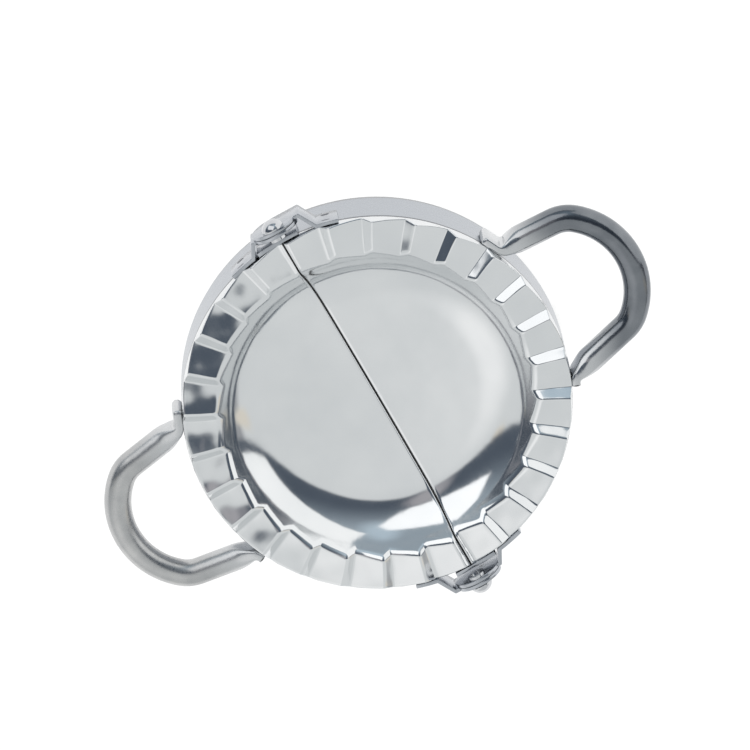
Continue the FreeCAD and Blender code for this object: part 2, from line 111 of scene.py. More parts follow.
# Handles, in millimetres and degrees: a flat bow, a tighter bend at each side and legs flattened at the band.
# SQUARENESS is how square the pressed section gets; the rest are the steps of the section and of the line.
BOW_STANDOFF = {"right": 4.3, "left": 3.9}
HANDLE_TURN = {"right": 2.0, "left": 0.9}
BOW_RADIUS = 20.0
BOW_HALF_ANGLE = 48.0
KNUCKLE_RADIUS = 9.0
LEG_ANGLES = {"right": (77.0, 86.0), "left": (81.0, 81.0)}
HANDLE_HEIGHT = 15.5
TUBE_RADIUS = 3.5
FLAT_LENGTH = 7.0
FOOT_RISE = 4.75
FOOT_HALF = 1.3
FOOT_SINK = 0.2
FOOT_BEND = 2.6
SEAT_ANGLE = 23.5
FOOT_LENGTHS = {"right": (0.8, 4.4), "left": (4.4, 0.8)}
FOOT_EDGE = 0.5
SEAT_PLAY = 0.02
SQUARENESS = 3.0
SECTION_STEP = 12.0
BOW_STEPS = 14
KNUCKLE_STEPS = 9
LEG_STEPS = 18
BEND_STEPS = 8
FOOT_STEPS = 4

# Spot welds on the strap lands, in millimetres.
WELD_LENGTH = 2.2
WELD_WIDTH = 0.32
WELD_RISE = 0.10
WELD_PLACE = 12.3
WELD_HEIGHTS = (14.4, 19.2)
STRAP_FACE = 51.0
WELD_LEAN = math.degrees(math.asin(WELD_PLACE / STRAP_FACE))

# Angles between faces in degrees: sharp from the first two up, bevelled from the third, flat below the last.
FORMED_SHARP = 50.0
STAMPED_SHARP = 40.0
BEVEL_FROM = 35.0
FLAT_WITHIN = 1.0

# Round of the stamped edges in millimetres, and the distances in metres within which points are joined.
STAMPED_ROUND = 0.12
JOIN_POINTS = 1e-7
JOIN_SOLID_POINTS = 2e-6

# View of the photograph: direction of the camera, picture scale and the place of the origin in it.
CAMERA_TILT = 18.4
CAMERA_AZIMUTH = 68.6
CAMERA_ROLL = -8.0
CAMERA_DISTANCE = 1500.0
PICTURE_SIDE = 750.0
PICTURE_SCALE = 3.862
ORIGIN_ACROSS = 374.2
ORIGIN_DOWN = 380.2
SENSOR_WIDTH = 36.0


def camera_axes():
    """Unit vectors of the view: toward the camera, picture right and picture up."""
    tilt = math.radians(CAMERA_TILT)
    azimuth = math.radians(CAMERA_AZIMUTH)
    roll = math.radians(CAMERA_ROLL)
    toward = Vector((math.sin(tilt) * math.cos(azimuth), math.sin(tilt) * math.sin(azimuth), math.cos(tilt)))
    lean = Vector((math.cos(azimuth), math.sin(azimuth), 0.0))
    up = (lean - toward * lean.dot(toward)).normalized()
    side = up.cross(toward)
    right = side * math.cos(roll) + up * math.sin(roll)
    return toward, right, toward.cross(right)


def add_camera():
    toward, right, up = camera_axes()
    half = PICTURE_SIDE / 2
    across = (half - ORIGIN_ACROSS) / PICTURE_SCALE
    rise = (ORIGIN_DOWN - half) / PICTURE_SCALE
    data = bpy.data.cameras.new("camera")
    data.sensor_width = SENSOR_WIDTH
    data.lens = PICTURE_SCALE * SENSOR_WIDTH * CAMERA_DISTANCE / PICTURE_SIDE
    data.clip_end = 10.0
    camera = bpy.data.objects.new("camera", data)
    place = (toward * CAMERA_DISTANCE + right * across + up * rise) * MM
    turn = Matrix((right, up, toward)).transposed().to_4x4()
    camera.matrix_world = Matrix.Translation(place) @ turn
    bpy.context.scene.collection.objects.link(camera)
    bpy.context.scene.camera = camera


# Meshes

def new_item(name, mesh):
    item = bpy.data.objects.new(name, mesh)
    bpy.context.scene.collection.objects.link(item)
    return item


def mesh_object(name, points, faces):
    mesh = bpy.data.meshes.new(name)
    mesh.from_pydata([tuple(p) for p in points], [], faces)
    mesh.validate()
    mesh.shade_smooth()
    return new_item(name, mesh)


def close_skin(mesh, joined):
    """Turns all faces outward and smooths all but sharp edges; joins doubled points first where asked."""
    work = bmesh.new()
    work.from_mesh(mesh)
    if joined:
        bmesh.ops.remove_doubles(work, verts=work.verts, dist=JOIN_POINTS)
    bmesh.ops.recalc_face_normals(work, faces=work.faces)
    work.to_mesh(mesh)
    work.free()
    mesh.shade_smooth()
    mesh.set_sharp_from_angle(angle=math.radians(FORMED_SHARP))


# Pressed half moulds

def lower_of(first, second, width):
    """Smooth minimum of two heights, rounded over the given height."""
    near = np.maximum(width - np.abs(first - second), 0.0) / width
    return np.minimum(first, second) - near * near * width / 4


def upper_of(first, second, width):
    return -lower_of(-first, -second, width)


def press_wave(radius, angle, phase):
    """Slight unevenness of the pressed pads."""
    turn = np.radians(angle)
    total = 0.0
    for height, length, direction in PRESS_WAVES:
        run = radius * np.cos(turn - math.radians(direction)) / length
        total = total + height * np.sin(2 * math.pi * run + phase * length)
    return total


def flange_height(radius, angle, depth, phase):
    """Height of the fan of dished pads and steep risers."""
    pitch = 360.0 / TOOTH_COUNT
    half = RISER_ANGLE / 2
    turn = np.mod(angle - 90.0, pitch)
    rise = TOOTH_RISE * radius / TOOTH_RADIUS
    along = 2 * (turn - half) / (pitch - 2 * half) - 1
    across = (radius - TOOTH_RADIUS) / PAD_HALF_LENGTH
    tilt = 1 + TILT_SHARE * np.sin(np.floor((angle - 90.0) / pitch) * TILT_STEP + phase)
    pad = rise * (along * tilt + PAD_DISH_SHARE * (along ** 2 - 1)) + RADIAL_DISH * (across ** 2 - 1)
    riser = rise * (pitch - turn) / half
    last = -rise * turn / half
    flange = upper_of(lower_of(pad, riser, CREST_ROUND), last, FOOT_ROUND)
    return FLANGE_HEIGHT - depth + flange + press_wave(radius, angle, phase)


def bowl_profile(offset):
    """Height over radius of the bowl's floor, corner and straight wall, moved outward by the offset."""
    slope = math.radians(WALL_ANGLE)
    floor_r = FLOOR_RADIUS + offset
    corner_r = CORNER_RADIUS + offset
    ball = np.array([0.0, FLOOR_HEIGHT - offset + floor_r])
    along = np.array([math.cos(slope), math.sin(slope)])
    inward = np.array([-along[1], along[0]])
    wall = np.array([MOUTH_RADIUS, FLANGE_HEIGHT]) - inward * offset
    start = wall + inward * corner_r - ball
    half = start @ along
    back = half + math.sqrt(half * half - start @ start + (floor_r - corner_r) ** 2)
    centre = ball + start - along * back
    foot = centre - inward * corner_r
    meet = ball + (centre - ball) / np.linalg.norm(centre - ball) * floor_r

    def height(radius):
        floor = ball[1] - np.sqrt(floor_r ** 2 - np.minimum(radius, floor_r) ** 2)
        reach = np.clip(radius - centre[0], -corner_r, corner_r)
        corner = centre[1] - np.sqrt(corner_r ** 2 - reach ** 2)
        side = foot[1] + (radius - foot[0]) * math.tan(slope)
        return np.where(radius < meet[0], floor, np.where(radius < foot[0], corner, side))

    return height


def sheet_height(radius, angle, depth, phase):
    """Height of the mould's upper face at depth 0, and of its lower face at the sheet thickness."""
    return lower_of(flange_height(radius, angle, depth, phase), bowl_profile(depth)(radius), MOUTH_ROUND)


def ring_radii():
    """Radii of the mesh rings out to the middle of the pads, close together on the mouth edge."""
    return np.concatenate([np.linspace(low, high, count, endpoint=False) for low, high, count in RING_BANDS])


def column_angles():
    """Angles of the mesh columns, close together on the crest and foot of each riser."""
    pitch = 360.0 / TOOTH_COUNT
    half = RISER_ANGLE / 2
    crest = [-half + shift for shift in CREST_COLUMNS]
    foot = [half + shift for shift in FOOT_COLUMNS]
    room = pitch - 2 * half - PAD_SPARE
    pad = [half + PAD_START + step * room / (PAD_COLUMNS - 1) for step in range(PAD_COLUMNS)]
    one = sorted(crest + list(RISER_COLUMNS) + foot + pad)
    every = [90.0 + k * pitch + v for k in range(-TOOTH_COUNT // 2 - 1, 2) for v in one]
    return np.array(sorted(v for v in every if -90.0 < v < 90.0))


def grid_xy(radius, angles, edge_steps):
    """Places on one ring, measured from the middle of the split edge and packed close along it."""
    inside = max(min((radius - SPLIT_HALF) / STRIP_GROWTH, 1.0), 0.0)
    strip = SPLIT_WIDTH * inside * edge_steps
    edge_angle = 90.0
    if inside:
        limit = SPLIT_HALF + strip[-1]
        edge_angle = math.degrees(math.atan2(math.sqrt(max(radius ** 2 - limit ** 2, 0.0)), strip[-1]))
    start = min(PACK_START, PACK_SHARE * edge_angle)
    size = np.abs(angles)
    packed = np.where(size < start, size, start + (size - start) * (edge_angle - start) / (90.0 - start))
    turn = np.radians(np.sign(angles) * packed)
    reach = -SPLIT_HALF * np.cos(turn)
    reach += np.sqrt(np.maximum(radius ** 2 - (SPLIT_HALF * np.sin(turn)) ** 2, 0.0))
    middle = np.stack([SPLIT_HALF + reach * np.cos(turn), reach * np.sin(turn)], 1)
    edge_x = SPLIT_HALF + strip
    edge_y = np.sqrt(np.maximum(radius ** 2 - edge_x ** 2, 0.0))
    low = np.stack([edge_x, -edge_y], 1)
    high = np.stack([edge_x, edge_y], 1)[::-1]
    return np.concatenate([low, middle, high])


def edge_drop(x):
    """How far the sheet is rounded down beside the split."""
    short = np.clip(1 - (x - SPLIT_HALF) / SPLIT_WIDTH, 0.0, 1.0)
    return SPLIT_DROP * (1 - np.sqrt(np.maximum(1 - short ** 2, 0.0)))


def moved_out(spots, radius, strip):
    """Places of one ring moved to a radius of their own; those beside the split keep their distance to it."""
    moved = spots * (radius / np.linalg.norm(spots, axis=1))[:, None]
    for part in (slice(0, strip), slice(len(spots) - strip, len(spots))):
        moved[part, 0] = spots[part, 0]
        moved[part, 1] = np.sign(spots[part, 1]) * np.sqrt(radius[part] ** 2 - spots[part, 0] ** 2)
    return moved


def mould_face(depth, angles, edge_steps, phase):
    """Rings of points of one face of the sheet, from the middle out, over the shoulder and down the lip."""
    rows = []
    dropped = 1.0 if depth == 0.0 else 0.0

    def add(spots, z, share=1.0):
        rows.append(np.column_stack([spots, z - edge_drop(spots[:, 0]) * share * dropped]))

    for radius in ring_radii():
        spots = grid_xy(radius, angles, edge_steps)
        turn = np.degrees(np.arctan2(spots[:, 1], spots[:, 0]))
        add(spots, sheet_height(radius, turn, depth, phase))
    outside = RIM_RADIUS - depth
    base = grid_xy(outside, angles, edge_steps)
    turn = np.degrees(np.arctan2(base[:, 1], base[:, 0]))
    strip = len(edge_steps)
    bend = SHOULDER_ROUND if depth == 0.0 else INNER_SHOULDER_ROUND
    skirt_foot = SKIRT_FOOT - depth * math.tan(math.radians((90.0 - SKIRT_ANGLE) / 2))
    level = flange_height(outside - bend, turn, depth, phase)
    corner = outside - np.maximum(level - skirt_foot, 0.0) / math.tan(math.radians(SKIRT_ANGLE))
    for share in np.linspace(0.0, 1.0, PAD_RINGS):
        radius = PLAIN_REACH + (corner - bend - PLAIN_REACH) * share
        top = flange_height(radius, turn, depth, phase)
        add(moved_out(base, radius, strip), top)
    for step in np.linspace(*SHOULDER_TURNS):
        lean = math.radians(step)
        spots = moved_out(base, corner - bend + bend * math.sin(lean), strip)
        add(spots, top - bend + bend * math.cos(lean), math.cos(lean))
    low = np.minimum(top - bend - LEAST_SIDE, skirt_foot)
    for height in (low, LIP_FOOT + 2 * LIP_ROUND, LIP_FOOT + LIP_ROUND):
        rows.append(np.column_stack([base, np.full(len(base), height)]))
    inner = outside + (LIP_ROUND if depth else -LIP_ROUND)
    edge = moved_out(base, np.full(len(base), inner), strip)
    rows.append(np.column_stack([edge, np.full(len(base), LIP_FOOT)]))
    return rows


def pressed_mould(side):
    """One half mould as a closed sheet with the small press radii that the solid leaves out."""
    angles = column_angles()
    edge_steps = 1 - np.cos(np.linspace(0.0, math.pi / 2, STRIP_COLUMNS))
    phase = PHASES[side]
    rows = mould_face(0.0, angles, edge_steps, phase)
    rows += mould_face(SHEET, angles, edge_steps, phase)[::-1]
    points = np.concatenate(rows)
    across = len(rows[0])
    count = len(rows)
    faces = []
    for i in range(count - 1):
        for j in range(across - 1):
            near = i * across + j
            faces.append((near, near + across, near + across + 1, near + 1))
    for j, outward in ((0, True), (across - 1, False)):
        for i in range(count // 2 - 1):
            quad = (i * across + j, (i + 1) * across + j,
                    (count - 2 - i) * across + j, (count - 1 - i) * across + j)
            faces.append(quad[::-1] if outward else quad)
    points = points * MM * np.array([HALVES[side], HALVES[side], 1.0])
    item = mesh_object("%s_mould_sheet" % side, points, faces)
    close_skin(item.data, joined=True)
    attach(item, side + "_half")
    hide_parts(side + "_mold")
    return item


# Handles

def pressed_share(distance):
    """How far the tube is pressed flat at a distance before the foot."""
    share = max(1 - distance / FLAT_LENGTH, 0.0)
    return share * share * (3 - 2 * share)


def handle_line(standoff, leg_angle, foot_length):
    """Half a handle from the middle of the bow to the end of its foot: place, heading and flattened share."""
    bow_x = RIM_RADIUS + standoff
    spots = []
    for turn in np.linspace(0.0, BOW_HALF_ANGLE, BOW_STEPS):
        lean = math.radians(turn)
        spots.append((bow_x + BOW_RADIUS * math.cos(lean), BOW_RADIUS * math.sin(lean), turn + 90.0, 0.0))
    lean = math.radians(BOW_HALF_ANGLE)
    step_in = BOW_RADIUS - KNUCKLE_RADIUS
    middle = (step_in * math.cos(lean) + bow_x, step_in * math.sin(lean))
    for turn in np.linspace(BOW_HALF_ANGLE, leg_angle, KNUCKLE_STEPS)[1:]:
        lean = math.radians(turn)
        x = middle[0] + KNUCKLE_RADIUS * math.cos(lean)
        y = middle[1] + KNUCKLE_RADIUS * math.sin(lean)
        spots.append((x, y, turn + 90.0, 0.0))
    heading = math.radians(leg_angle + 90.0)
    foot_turn = leg_angle - SEAT_ANGLE
    seat = RIM_RADIUS + FOOT_HALF - FOOT_SINK
    toward = x * math.cos(heading) + y * math.sin(heading)
    full = -toward - math.sqrt(toward ** 2 - x ** 2 - y ** 2 + seat ** 2)
    run = full - FOOT_BEND * math.tan(math.radians(foot_turn / 2))
    for step in np.linspace(0.0, run, LEG_STEPS)[1:]:
        share = pressed_share(run - step + FOOT_BEND * math.radians(foot_turn))
        spots.append((x + step * math.cos(heading), y + step * math.sin(heading), leg_angle + 90.0, share))
    pivot = (spots[-1][0] + FOOT_BEND * math.sin(heading), spots[-1][1] - FOOT_BEND * math.cos(heading))
    for turn in np.linspace(0.0, foot_turn, BEND_STEPS)[1:]:
        lean = heading - math.radians(turn)
        share = pressed_share(FOOT_BEND * math.radians(foot_turn - turn))
        spots.append((pivot[0] - FOOT_BEND * math.sin(lean), pivot[1] + FOOT_BEND * math.cos(lean),
                      math.degrees(lean), share))
    foot = spots[-1]
    for step in np.linspace(0.0, foot_length, FOOT_STEPS)[1:]:
        spots.append((foot[0] + step * math.cos(lean), foot[1] + step * math.sin(lean), foot[2], 1.0))
    return spots


def formed_handle(side):
    """Bent tube with legs pressed flat, seated on the band."""
    legs = zip(LEG_ANGLES[side], FOOT_LENGTHS[side])
    low, high = (handle_line(BOW_STANDOFF[side], angle, length) for angle, length in legs)
    line = [(x, -y, 180.0 - heading, share) for x, y, heading, share in low[:0:-1]] + high
    # Each foot is rounded off: its section is drawn in at the very end and full a little before it.
    sections = [(*line[0], FOOT_EDGE, 0.0), (*line[0], 0.0, FOOT_EDGE)]
    sections += [(*spot, 0.0, 0.0) for spot in line[1:-1]]
    sections += [(*line[-1], 0.0, -FOOT_EDGE), (*line[-1], FOOT_EDGE, 0.0)]
    turns = np.radians(np.arange(0.0, 360.0, SECTION_STEP))
    count = len(turns)
    rings = []
    for x, y, heading, share, drawn_in, shift in sections:
        power = 2.0 / (2.0 + SQUARENESS * share)
        thick = TUBE_RADIUS + (FOOT_HALF - TUBE_RADIUS) * share
        rise = TUBE_RADIUS + (FOOT_RISE - TUBE_RADIUS) * share
        lean = math.radians(heading)
        out = (thick - drawn_in) * np.sign(np.cos(turns)) * np.abs(np.cos(turns)) ** power
        up = (rise - drawn_in) * np.sign(np.sin(turns)) * np.abs(np.sin(turns)) ** power
        rings.append(np.stack([x + shift * math.cos(lean) - out * math.sin(lean),
                               y + shift * math.sin(lean) + out * math.cos(lean), HANDLE_HEIGHT + up], 1))
    points = np.concatenate(rings)
    reach = np.linalg.norm(points[:, :2], axis=1)
    points[:, :2] *= np.maximum((RIM_RADIUS + SEAT_PLAY) / reach, 1.0)[:, None]
    turn = math.radians(HANDLE_TURN[side] + (0.0 if side == "right" else 180.0))
    flat = points[:, :2] @ np.array([[math.cos(turn), math.sin(turn)], [-math.sin(turn), math.cos(turn)]])
    points = np.column_stack([flat, points[:, 2]]) * MM
    faces = []
    for i in range(len(rings) - 1):
        near = i * count
        for j in range(count):
            after = (j + 1) % count
            faces.append((near + j, near + after, near + count + after, near + count + j))
    faces.append(tuple(range(count))[::-1])
    faces.append(tuple(range(len(points) - count, len(points))))
    item = mesh_object("%s_formed_handle" % side, points, faces)
    close_skin(item.data, joined=False)
    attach(item, side + "_half")
    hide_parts(side + "_handle")
    return item


# Stamped pieces and their welds

def softened(name, width, node):
    """A copy of a solid's mesh with a small round along its sharp edges."""
    source = frame["nodes"][node]
    work = bmesh.new()
    work.from_mesh(source.data)
    bmesh.ops.remove_doubles(work, verts=work.verts, dist=JOIN_SOLID_POINTS)
    bmesh.ops.dissolve_limit(work, angle_limit=math.radians(FLAT_WITHIN), verts=work.verts, edges=work.edges)
    least = math.radians(BEVEL_FROM)
    sharp = [e for e in work.edges if len(e.link_faces) == 2 and e.calc_face_angle() > least]
    bmesh.ops.bevel(work, geom=sharp, offset=width * MM, segments=2, profile=0.5, affect="EDGES",
                    clamp_overlap=True)
    bmesh.ops.triangulate(work, faces=[f for f in work.faces if len(f.verts) > 4])
    mesh = bpy.data.meshes.new(name)
    work.to_mesh(mesh)
    work.free()
    mesh.shade_smooth()
    mesh.set_sharp_from_angle(angle=math.radians(STAMPED_SHARP))
    item = new_item(name, mesh)
    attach(item, next(body for body, nodes in BODY_NODES.items() if node in nodes))
    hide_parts(node)
    return item


def spot_welds(name, node, turn):
    """Two short weld seams, one above the other, on the land of a strap."""
    work = bmesh.new()
    lean = math.radians(turn)
    outward = Vector((math.cos(lean), math.sin(lean), 0.0))
    along = Vector((-math.sin(lean), math.cos(lean), 0.0))
    up = Vector((0.0, 0.0, 1.0))
    for height in WELD_HEIGHTS:
        place = Matrix.Translation((outward * STRAP_FACE + up * height) * MM)
        shape = Matrix((along * WELD_LENGTH / 2, up * WELD_WIDTH / 2, outward * WELD_RISE))
        shape = shape.transposed().to_4x4()
        ball = bmesh.ops.create_uvsphere(work, u_segments=16, v_segments=8, radius=MM)
        bmesh.ops.transform(work, matrix=place @ shape, verts=ball["verts"])
    mesh = bpy.data.meshes.new(name)
    work.to_mesh(mesh)
    work.free()
    mesh.shade_smooth()
    item = new_item(name, mesh)
    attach(item, next(body for body, nodes in BODY_NODES.items() if node in nodes))
    return item


# Materials

class Nodes:
    """Lays out the nodes of a material or of the world."""

    def __init__(self, tree):
        self.tree = tree

    def node(self, kind, **settings):
        item = self.tree.nodes.new(kind)
        for key, value in settings.items():
            setattr(item, key, value)
        return item

    def link(self, source, target):
        self.tree.links.new(source, target)

    def feed(self, value, target):
        """Links a socket, or sets a plain value."""
        if hasattr(value, "is_output"):
            self.link(value, target)
        else:
            target.default_value = value

    def math(self, operation, first, second=0.0):
        item = self.node("ShaderNodeMath", operation=operation)
        self.feed(first, item.inputs[0])
        self.feed(second, item.inputs[1])
        return item.outputs["Value"]

    def dot(self, vector, direction):
        item = self.node("ShaderNodeVectorMath", operation="DOT_PRODUCT")
        self.link(vector, item.inputs[0])
        item.inputs[1].default_value = direction
        return item.outputs["Value"]

    def span(self, value, low, high, start=0.3, stop=0.7, kind="LINEAR"):
        """Low at the start, high at the stop."""
        item = self.node("ShaderNodeMapRange", interpolation_type=kind)
        item.inputs["From Min"].default_value = start
        item.inputs["From Max"].default_value = stop
        item.inputs["To Min"].default_value = low
        item.inputs["To Max"].default_value = high
        self.link(value, item.inputs["Value"])
        return item.outputs["Result"]

    def step(self, value, start, stop):
        """Soft step from 0 at the start to 1 at the stop."""
        low, high = (1.0, 0.0) if start > stop else (0.0, 1.0)
        return self.span(value, low, high, min(start, stop), max(start, stop), "SMOOTHSTEP")

    def blend(self, factor, first, second, kind="MIX"):
        item = self.node("ShaderNodeMix", data_type="RGBA", blend_type=kind)
        self.feed(first, item.inputs["A"])
        self.feed(second, item.inputs["B"])
        self.feed(factor, item.inputs["Factor"])
        return item.outputs["Result"]


class Paint(Nodes):
    """Lays out one metal's nodes. Noise scales are per metre, reliefs are in metres."""

    def __init__(self, name):
        self.material = bpy.data.materials.new(name)
        self.material.use_nodes = True
        super().__init__(self.material.node_tree)
        self.place = self.node("ShaderNodeTexCoord").outputs["Object"]

    def noise(self, scale, detail=2.0, roughness=0.5, stretch=None, source=None):
        item = self.node("ShaderNodeTexNoise")
        item.inputs["Scale"].default_value = scale
        item.inputs["Detail"].default_value = detail
        item.inputs["Roughness"].default_value = roughness
        vector = source or self.place
        if stretch:
            mapping = self.node("ShaderNodeMapping")
            mapping.inputs["Scale"].default_value = stretch
            self.link(vector, mapping.inputs["Vector"])
            vector = mapping.outputs["Vector"]
        self.link(vector, item.inputs["Vector"])
        return item.outputs["Fac"]

    def clouded(self, scale, tones):
        """Tone that wanders between a dark and a light one."""
        return self.blend(self.span(self.noise(scale, detail=3.0), 0.0, 1.0), *tones)

    def bump(self, height, distance, under=None):
        item = self.node("ShaderNodeBump")
        item.inputs["Strength"].default_value = 1.0
        item.inputs["Distance"].default_value = distance
        self.link(height, item.inputs["Height"])
        if under:
            self.link(under, item.inputs["Normal"])
        return item.outputs["Normal"]

    def around(self):
        """Coordinates that run round the upright axis: angle, radius and height."""
        split = self.node("ShaderNodeSeparateXYZ")
        self.link(self.place, split.inputs["Vector"])
        turn = self.node("ShaderNodeMath", operation="ARCTAN2")
        self.link(split.outputs["Y"], turn.inputs[0])
        self.link(split.outputs["X"], turn.inputs[1])
        length = self.node("ShaderNodeVectorMath", operation="LENGTH")
        flat = self.node("ShaderNodeCombineXYZ")
        self.link(split.outputs["X"], flat.inputs["X"])
        self.link(split.outputs["Y"], flat.inputs["Y"])
        self.link(flat.outputs["Vector"], length.inputs[0])
        merge = self.node("ShaderNodeCombineXYZ")
        self.link(turn.outputs["Value"], merge.inputs["X"])
        self.link(length.outputs["Value"], merge.inputs["Y"])
        self.link(split.outputs["Z"], merge.inputs["Z"])
        return merge.outputs["Vector"]

    def part_of(self, vector, axis):
        split = self.node("ShaderNodeSeparateXYZ")
        self.link(vector, split.inputs["Vector"])
        return split.outputs[axis]

    def metal(self, tone, rough, normal):
        """Joins tone, roughness and relief into the finished metal."""
        shader = self.tree.nodes["Principled BSDF"]
        self.link(tone, shader.inputs["Base Color"])
        self.feed(rough, shader.inputs["Roughness"])
        self.link(normal, shader.inputs["Normal"])
        shader.inputs["Metallic"].default_value = 1.0
        return self.material


# Dark and light tone of each metal.
POLISHED_TONES = (0.76, 0.775, 0.785, 1.0), (0.83, 0.84, 0.845, 1.0)
# The band's dark tone is painted shade in the joint under the lip, and also the darker strip along its bottom
# edge.
BAND_TONES = (0.13, 0.14, 0.155, 1.0), (0.43, 0.455, 0.49, 1.0)
STREAK_TONES = (0.975, 0.975, 0.975, 1.0), (1.0, 1.0, 1.0, 1.0)
STRAP_TONES = (0.42, 0.44, 0.47, 1.0), (0.52, 0.54, 0.57, 1.0)
WELD_TONES = (0.18, 0.18, 0.20, 1.0), (0.32, 0.32, 0.34, 1.0)
RIVET_TONES = (0.54, 0.55, 0.57, 1.0), (0.68, 0.69, 0.70, 1.0)
# Painted light: one tube's tone, shaded dark for the right handle and lit pale for the left.
SATIN_LIT_AND_SHADED_TONES = {"right": ((0.17, 0.185, 0.205, 1.0), (0.25, 0.265, 0.285, 1.0)),
               "left": ((0.44, 0.445, 0.45, 1.0), (0.58, 0.58, 0.575, 1.0))}
SATIN_PALE = (0.62, 0.63, 0.64, 1.0)

# Lowest and highest roughness of each metal.
POLISHED_ROUGH = (0.08, 0.13)
BAND_ROUGH = (0.20, 0.32)
STRAP_ROUGH = (0.18, 0.30)
RIVET_ROUGH = (0.08, 0.16)
SATIN_ROUGH = {"right": (0.12, 0.22), "left": (0.25, 0.35)}
WELD_ROUGH = 0.45

# Heights and radii in metres where a metal changes its tone.
# The band is darker below this height, along its bottom edge.
BAND_FOOT_DARK = (0.0023, 0.0028)
# Above this height the band's tone is painted shade: the joint that lies under the mould's lip.
LIP_JOINT_SHADE = (0.0180, 0.0183)
PALE_FEET = (0.066, 0.053)


def polished_steel():
    """Pressed and polished stainless sheet: nearly a mirror, with soft drawing waves and fine scratches."""
    paint = Paint("polished_steel")
    tone = paint.clouded(scale=60.0, tones=POLISHED_TONES)
    scratch = paint.noise(scale=900.0, detail=3.0, roughness=0.6, stretch=(1.0, 0.06, 1.0))
    wear = paint.math("ADD", paint.noise(scale=250.0, detail=4.0, roughness=0.6), scratch)
    rough = paint.span(wear, *POLISHED_ROUGH, start=0.6, stop=1.4)
    waves = paint.bump(paint.noise(scale=110.0, roughness=0.45), distance=0.00006)
    return paint.metal(tone, rough, paint.bump(scratch, distance=0.0000012, under=waves))


def band_steel():
    """Rolled strip drawn round the ring, darker along its bottom edge, with painted shade in the joint under
    the lip.
    """
    paint = Paint("band_steel")
    lines = paint.noise(scale=700.0, detail=3.0, roughness=0.6, stretch=(0.02, 1.0, 3.0),
                        source=paint.around())
    # Darker along the band's bottom edge.
    foot_dark = paint.span(paint.part_of(paint.place, "Z"), 0.0, 1.0, *BAND_FOOT_DARK)
    # Painted shade: the band turns dark above the joint line, where it lies under the mould's lip.
    lip_joint_shade = paint.span(paint.part_of(paint.place, "Z"), 1.0, 0.0, *LIP_JOINT_SHADE)
    zones = paint.blend(paint.math("MINIMUM", foot_dark, lip_joint_shade), *BAND_TONES)
    streaks = paint.blend(paint.span(lines, 0.0, 1.0), *STREAK_TONES)
    tone = paint.blend(1.0, zones, streaks, "MULTIPLY")
    return paint.metal(tone, paint.span(lines, *BAND_ROUGH), paint.bump(lines, distance=0.0000006))


def satin_steel(side):
    """Drawn tube with a fine satin grain, paler toward its feet; its tone is painted light, shaded dark on
    the right handle and lit pale on the left.
    """
    paint = Paint("satin_steel_" + side)
    near_band = paint.step(paint.part_of(paint.around(), "Y"), *PALE_FEET)
    # Painted light: the right handle takes a shaded tone and the left one a lit tone.
    tone = paint.blend(near_band, paint.clouded(scale=140.0, tones=SATIN_LIT_AND_SHADED_TONES[side]), SATIN_PALE)
    grain = paint.noise(scale=1800.0, detail=4.0, roughness=0.65)
    dents = paint.bump(paint.noise(scale=260.0), distance=0.00005)
    relief = paint.bump(grain, distance=0.000006, under=dents)
    return paint.metal(tone, paint.span(grain, *SATIN_ROUGH[side]), relief)


def strap_steel():
    """Stamped strip with handling scratches."""
    paint = Paint("strap_steel")
    tone = paint.clouded(scale=220.0, tones=STRAP_TONES)
    scratch = paint.noise(scale=1200.0, detail=3.0, roughness=0.6, stretch=(0.08, 0.3, 1.0))
    waves = paint.bump(paint.noise(scale=300.0), distance=0.00003)
    relief = paint.bump(scratch, distance=0.000003, under=waves)
    return paint.metal(tone, paint.span(scratch, *STRAP_ROUGH), relief)


def weld_steel():
    """Heat-darkened weld metal."""
    paint = Paint("weld_steel")
    tone = paint.clouded(scale=900.0, tones=WELD_TONES)
    return paint.metal(tone, WELD_ROUGH, paint.bump(paint.noise(scale=1500.0), distance=0.00002))


def rivet_steel():
    """Bright formed rivet with tiny dents from the setting tool."""
    paint = Paint("rivet_steel")
    tone = paint.clouded(scale=400.0, tones=RIVET_TONES)
    rough = paint.span(paint.noise(scale=900.0, detail=3.0), *RIVET_ROUGH)
    return paint.metal(tone, rough, paint.bump(paint.noise(scale=700.0), distance=0.00002))


def dress(item, material):
    item.data.materials.clear()
    item.data.materials.append(material)


# Studio: the surroundings are laid out in degrees from straight overhead, across and along the view.

WALL = (0.73, 0.75, 0.755, 1.0)
SOFT_LIGHT = (0.98, 0.985, 0.985, 1.0)
ROOM_DARK = (0.085, 0.105, 0.135, 1.0)
ROOM_PALE = (0.33, 0.39, 0.44, 1.0)
WINDOW = (1.22, 1.23, 1.24, 1.0)
PANEL = (1.05, 1.06, 1.06, 1.0)
HAZE = (0.50, 0.60, 0.68, 1.0)
WARM = (0.78, 0.73, 0.64, 1.0)
STAND = (0.42, 0.41, 0.43, 1.0)
FAR_SIDE = (0.36, 0.37, 0.385, 1.0)
WHITE = (1.0, 1.0, 1.0, 1.0)

# Each edge: direction that it faces in degrees, and how far out it lies.
WINDOW_EDGES = [(180.0, 58.0), (149.5, 76.2), (76.5, 59.2), (32.0, 35.2), (-32.0, -19.9), (265.4, -26.3)]
PANEL_EDGES = [(138.8, 27.8), (261.9, -5.9)]
ROOM_EDGES = [(95.1, 8.0), (75.4, 6.8)]
WINDOW_SOFT = 1.5
PANEL_SOFT = 1.2
ROOM_SOFT = 2.4

